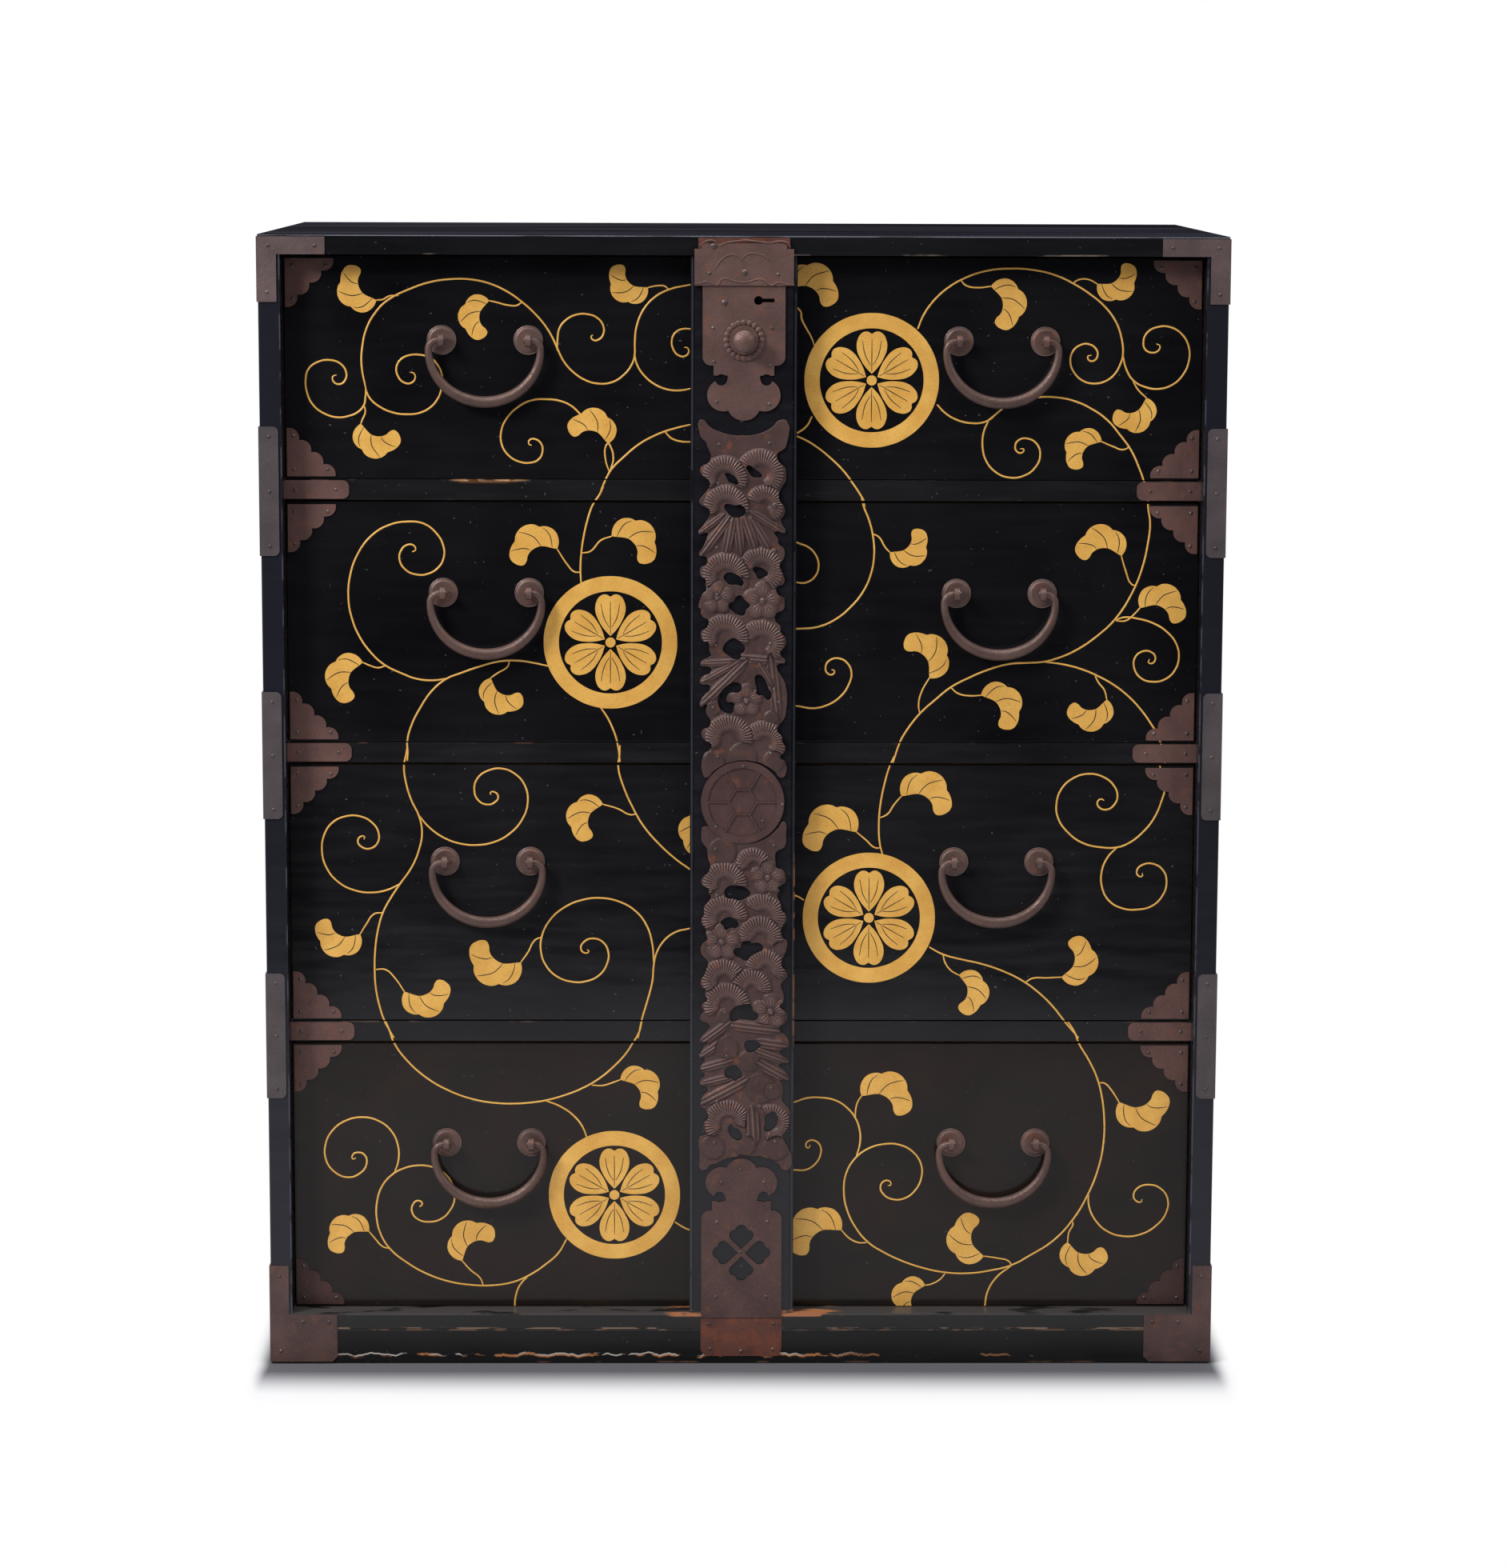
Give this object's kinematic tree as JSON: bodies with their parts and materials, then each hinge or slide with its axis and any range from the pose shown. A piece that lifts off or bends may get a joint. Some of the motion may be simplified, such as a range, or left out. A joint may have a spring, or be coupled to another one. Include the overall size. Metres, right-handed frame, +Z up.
{
  "type": "lacquered clothing chest",
  "caption": "Black lacquered chest with full-width drawers behind a removable locking bar, with pierced iron fittings and swinging bail handles.",
  "frame": {"origin": "middle of the footprint at floor level", "axes": "+Z up, the drawer fronts face -Y, +X to the right of someone who faces the front"},
  "size_m": [0.882, 0.4536, 1.053],
  "materials": {
    "black_lacquer": "gloss",
    "lacquered_softwood": "satin",
    "bare_paulownia": "matte",
    "russet_iron": "satin",
    "lock_iron": "satin"
  },
  "bodies": {
    "case": {"side_left": "black_lacquer", "side_right": "black_lacquer", "top_board": "black_lacquer", "bottom_board": "lacquered_softwood", "front_apron": "black_lacquer", "back_panel": "lacquered_softwood", "rail_1": "black_lacquer", "rail_2": "black_lacquer", "rail_3": "black_lacquer", "dust_board_1": "bare_paulownia", "dust_board_2": "bare_paulownia", "dust_board_3": "bare_paulownia", "top_corner_plate_left": "russet_iron", "top_corner_plate_right": "russet_iron", "foot_corner_plate_left": "russet_iron", "foot_corner_plate_right": "russet_iron", "edge_straps": "russet_iron", "rail_straps": "russet_iron", "striker_plate": "russet_iron", "apron_plate": "russet_iron"},
    "locking_bar": {"bar_board": "black_lacquer", "lock_plate": "russet_iron", "hasp_plate": "russet_iron", "openwork_upper": "russet_iron", "openwork_lower": "russet_iron", "bar_medallion": "russet_iron", "bar_foot_plate": "russet_iron", "knob": "russet_iron", "knob_rose": "russet_iron", "lock_case": "lock_iron"},
    "bolt": {"lock_bolt": "lock_iron"},
    "drawer_1": {"drawer_1_front": "black_lacquer", "drawer_1_walls": "bare_paulownia", "drawer_1_bottom": "bare_paulownia", "drawer_1_corner_plates": "russet_iron", "drawer_1_handle_mounts": "russet_iron"},
    "drawer_1_bail_left": {"drawer_1_bail_left": "russet_iron"},
    "drawer_1_bail_right": {"drawer_1_bail_right": "russet_iron"},
    "drawer_2": {"drawer_2_front": "black_lacquer", "drawer_2_walls": "bare_paulownia", "drawer_2_bottom": "bare_paulownia", "drawer_2_corner_plates": "russet_iron", "drawer_2_handle_mounts": "russet_iron"},
    "drawer_2_bail_left": {"drawer_2_bail_left": "russet_iron"},
    "drawer_2_bail_right": {"drawer_2_bail_right": "russet_iron"},
    "drawer_3": {"drawer_3_front": "black_lacquer", "drawer_3_walls": "bare_paulownia", "drawer_3_bottom": "bare_paulownia", "drawer_3_corner_plates": "russet_iron", "drawer_3_handle_mounts": "russet_iron"},
    "drawer_3_bail_left": {"drawer_3_bail_left": "russet_iron"},
    "drawer_3_bail_right": {"drawer_3_bail_right": "russet_iron"},
    "drawer_4": {"drawer_4_front": "black_lacquer", "drawer_4_walls": "bare_paulownia", "drawer_4_bottom": "bare_paulownia", "drawer_4_corner_plates": "russet_iron", "drawer_4_handle_mounts": "russet_iron"},
    "drawer_4_bail_left": {"drawer_4_bail_left": "russet_iron"},
    "drawer_4_bail_right": {"drawer_4_bail_right": "russet_iron"}
  },
  "joints": [
    {"name": "bar_pull", "type": "slide", "parent": "case", "child": "locking_bar", "axis": [0, -1, 0], "range_m": [0, 0.4]},
    {"name": "bolt_throw", "type": "slide", "parent": "locking_bar", "child": "bolt", "axis": [0, 0, 1], "range_m": [0, 0.009]},
    {"name": "drawer_1_slide", "type": "slide", "parent": "case", "child": "drawer_1", "axis": [0, -1, 0], "range_m": [0, 0.34]},
    {"name": "drawer_1_bail_left_swing", "type": "hinge", "parent": "drawer_1", "child": "drawer_1_bail_left", "pos_m": [-0.236, -0.1907, 0.95691], "axis": [-1, 0, 0], "range_deg": [0, 100]},
    {"name": "drawer_1_bail_right_swing", "type": "hinge", "parent": "drawer_1", "child": "drawer_1_bail_right", "pos_m": [0.236, -0.1907, 0.95691], "axis": [-1, 0, 0], "range_deg": [0, 100]},
    {"name": "drawer_2_slide", "type": "slide", "parent": "case", "child": "drawer_2", "axis": [0, -1, 0], "range_m": [0, 0.34]},
    {"name": "drawer_2_bail_left_swing", "type": "hinge", "parent": "drawer_2", "child": "drawer_2_bail_left", "pos_m": [-0.236, -0.1907, 0.72519], "axis": [-1, 0, 0], "range_deg": [0, 100]},
    {"name": "drawer_2_bail_right_swing", "type": "hinge", "parent": "drawer_2", "child": "drawer_2_bail_right", "pos_m": [0.236, -0.1907, 0.72519], "axis": [-1, 0, 0], "range_deg": [0, 100]},
    {"name": "drawer_3_slide", "type": "slide", "parent": "case", "child": "drawer_3", "axis": [0, -1, 0], "range_m": [0, 0.34]},
    {"name": "drawer_3_bail_left_swing", "type": "hinge", "parent": "drawer_3", "child": "drawer_3_bail_left", "pos_m": [-0.236, -0.1907, 0.47428], "axis": [-1, 0, 0], "range_deg": [0, 100]},
    {"name": "drawer_3_bail_right_swing", "type": "hinge", "parent": "drawer_3", "child": "drawer_3_bail_right", "pos_m": [0.236, -0.1907, 0.47428], "axis": [-1, 0, 0], "range_deg": [0, 100]},
    {"name": "drawer_4_slide", "type": "slide", "parent": "case", "child": "drawer_4", "axis": [0, -1, 0], "range_m": [0, 0.34]},
    {"name": "drawer_4_bail_left_swing", "type": "hinge", "parent": "drawer_4", "child": "drawer_4_bail_left", "pos_m": [-0.236, -0.1907, 0.20672], "axis": [-1, 0, 0], "range_deg": [0, 100]},
    {"name": "drawer_4_bail_right_swing", "type": "hinge", "parent": "drawer_4", "child": "drawer_4_bail_right", "pos_m": [0.236, -0.1907, 0.20672], "axis": [-1, 0, 0], "range_deg": [0, 100]}
  ],
  "couplings": [
    {"joint": "drawer_1_slide", "follows": "bar_pull", "ratio": 0.85},
    {"joint": "drawer_2_slide", "follows": "bar_pull", "ratio": 0.85},
    {"joint": "drawer_3_slide", "follows": "bar_pull", "ratio": 0.85},
    {"joint": "drawer_4_slide", "follows": "bar_pull", "ratio": 0.85}
  ]
}
